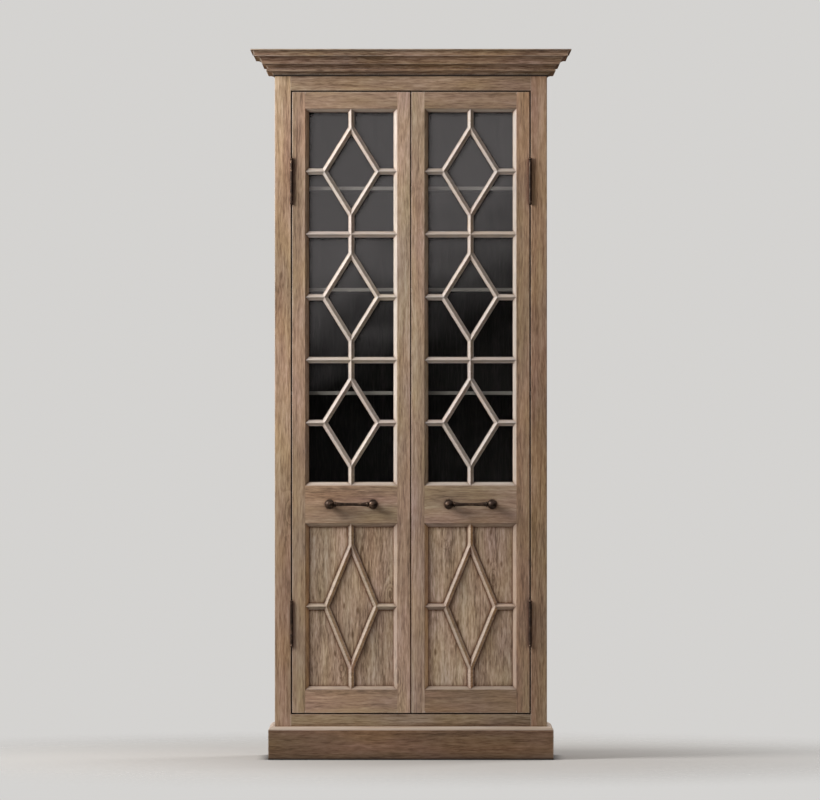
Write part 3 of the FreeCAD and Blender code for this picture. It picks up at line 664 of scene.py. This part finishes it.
def oak_looks(node):
    """What sets this piece's oak apart from plain oak."""
    if "door_panel" in node:
        return {"figure": 1.3, "hue_swing": 0.8, "knots": (4.2, 9.5), "length": 0.8, "seam": SEAM_SHADE_REACH,
                "eyes": True}
    if "upper_fretwork" in node:
        return {"edge_wear": 0.9, "slope_wear": 0.6, "shade_wear": 0.35, "worn": BAR_WEAR_AND_HIGHLIGHT, "gloss": 0.9}
    if "lower_fretwork" in node:
        return {"edge_wear": 0.5, "slope_wear": 0.6, "gloss": 0.7, "seam": SEAM_SHADE_REACH}
    if "door" in node:
        return {"slope_wear": 0.6, "worn": STICKING_WEAR_AND_HIGHLIGHT, "gloss": 0.7, "rim": door_field(node),
                "seam": SEAM_SHADE_REACH}
    if "plinth" in node:
        return {"top_wear": 0.8, "scuffed": True}
    if "crown" in node:
        return {"edge_wear": 0.95, "figure": 1.8, "grime": CROWN_SHADE_REACH,
                "quirk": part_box(node)[0].z + QUIRK_HEIGHT}
    if "frame_left" in node:
        return {"edge_wear": 0.95, "grime": STILE_SHADE_REACH}
    if "frame_right" in node:
        return {"grime": STILE_SHADE_REACH}
    if "side_panel" in node:
        return {"lining": (0, 1) if "left" in node else (0, -1)}
    if "back_panel" in node:
        return {"lining": (1, -1)}
    return {}


def wood_finish(node, seed):
    along = grain_axis(node)
    pith = pith_of(node, along, seed)
    if any(word in node for word in INNER):
        return stained_wood(node, along, pith, seed)
    tone, warmth = next((shades for word, shades in BOARD_TONES.items() if word in node), OTHER_TONE)
    looks = {"tone": tone, "warmth": warmth, "edge_wear": 0.6, **oak_looks(node)}
    return wood("oak_" + node, along, pith, seed, OAK, **looks)


def dress():
    shared = {"glass": glass("clear_glass"), "dark_iron": iron("dark_iron"), "steel": steel("steel"),
              "catch_shell": moulded("catch_shell")}
    slots = {part["node"]: part["material_slot"] for part in frame["record"]["subparts"]}
    for seed, node in enumerate(sorted(frame["nodes"]), 1):
        piece = frame["nodes"][node]
        finish = shared.get(slots[node]) or wood_finish(node, seed)
        if not piece.material_slots:
            piece.data.materials.append(finish)
        for slot in piece.material_slots:
            slot.material = finish


# Floor, surroundings and lights

def lay_floor():
    mesh = bpy.data.meshes.new("floor")
    half = FLOOR_HALF
    mesh.from_pydata([(-half, -half, 0), (half, -half, 0), (half, half, 0), (-half, half, 0)],
                     [], [(0, 1, 2, 3)])
    floor = bpy.data.objects.new("floor", mesh)
    bpy.context.scene.collection.objects.link(floor)
    graph = new_material("pale_floor")
    # Painted contact shadow: the floor darkens where ambient occlusion finds the plinth close by
    contact = graph.span(graph.openness(CONTACT_REACH, samples=8), *FLOOR_OPENNESS, CONTACT_DARKEST, 1.0)
    matt = graph.add("BsdfPrincipled", {"Base Color": graph.times(FLOOR_COLOUR, contact),
                                        "Roughness": 0.8, "Specular IOR Level": 0.2})
    clear = graph.add("BsdfTransparent")
    graded = graph.span(graph.vector("LENGTH", graph.place()), FLOOR_FADE_START, FLOOR_FADE_END,
                       interpolation_type="SMOOTHSTEP")
    mesh.materials.append(graph.finish(graph.mix(graded, matt.outputs["BSDF"], clear.outputs["BSDF"])))


def light_world():
    """A sky brightest overhead, a pale backdrop for the view, and a graded room in mirror rays."""
    graph = Graph(bpy.data.worlds.new("surroundings"), "OutputWorld")
    direction = graph.parts(graph.add("TexCoord").outputs["Generated"])
    sky = graph.light(SKY_COLOUR, graph.span(direction[2], *SKY_HEIGHTS, SKY_LOW, SKY_HIGH))
    backdrop = graph.light(BACKDROP)
    lean = graph.math("MULTIPLY_ADD", direction[0], MIRROR_LEAN, direction[2])
    grade = graph.span(lean, MIRROR_DARK_SLOPE, MIRROR_LIGHT_SLOPE, interpolation_type="SMOOTHSTEP")
    room = graph.light(graph.ramp(grade, [(0.0, ROOM_DARK), (1.0, ROOM_LIGHT)]))

    # Reflections show the room, rays straight through a pane show the backdrop,
    # and light that has been scattered once sees the sky.
    rays = graph.add("LightPath").outputs
    unscattered = graph.math("LESS_THAN", rays["Diffuse Depth"], 0.5)
    unmirrored = graph.math("LESS_THAN", rays["Glossy Depth"], 0.5)
    reflected = graph.math("MAXIMUM", graph.math("SUBTRACT", unscattered, unmirrored), 0.0)
    through = graph.product(rays["Is Transmission Ray"], unscattered, unmirrored)
    seen = graph.math("MAXIMUM", rays["Is Camera Ray"], through)
    bpy.context.scene.world = graph.finish(graph.mix(seen, graph.mix(reflected, sky, room), backdrop))


def add_softbox(name, place, target, size, power, colour, mirrored=True):
    lamp = bpy.data.lights.new(name, "AREA")
    lamp.shape = "SQUARE"
    lamp.size = size
    lamp.energy = power
    lamp.color = colour
    holder = bpy.data.objects.new(name, lamp)
    holder.location = place
    aim = Vector(target) - Vector(place)
    holder.rotation_euler = aim.to_track_quat("-Z", "Y").to_euler()
    holder.visible_glossy = mirrored
    bpy.context.scene.collection.objects.link(holder)


def set_camera():
    data = bpy.data.cameras.new("camera")
    data.sensor_width = SENSOR_WIDTH
    data.lens = FOCAL_PIXELS * SENSOR_WIDTH / IMAGE_WIDTH
    data.dof.use_dof = False
    holder = bpy.data.objects.new("camera", data)
    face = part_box("frame_left_stile")[0].y
    holder.location = (CAMERA_ACROSS, face - CAMERA_DISTANCE, CAMERA_HEIGHT)
    holder.rotation_euler = (math.radians(90), 0, 0)
    bpy.context.scene.collection.objects.link(holder)
    bpy.context.scene.camera = holder


dress()
lay_floor()
light_world()
add_softbox("key", KEY_PLACE, KEY_TARGET, KEY_SIZE, KEY_POWER, KEY_COLOUR)
add_softbox("fill", FILL_PLACE, KEY_TARGET, FILL_SIZE, FILL_POWER, FILL_COLOUR, mirrored=False)
add_softbox("rear", REAR_PLACE, REAR_TARGET, REAR_SIZE, REAR_POWER, KEY_COLOUR, mirrored=False)
set_camera()
bpy.context.scene.view_settings.view_transform = "Standard"
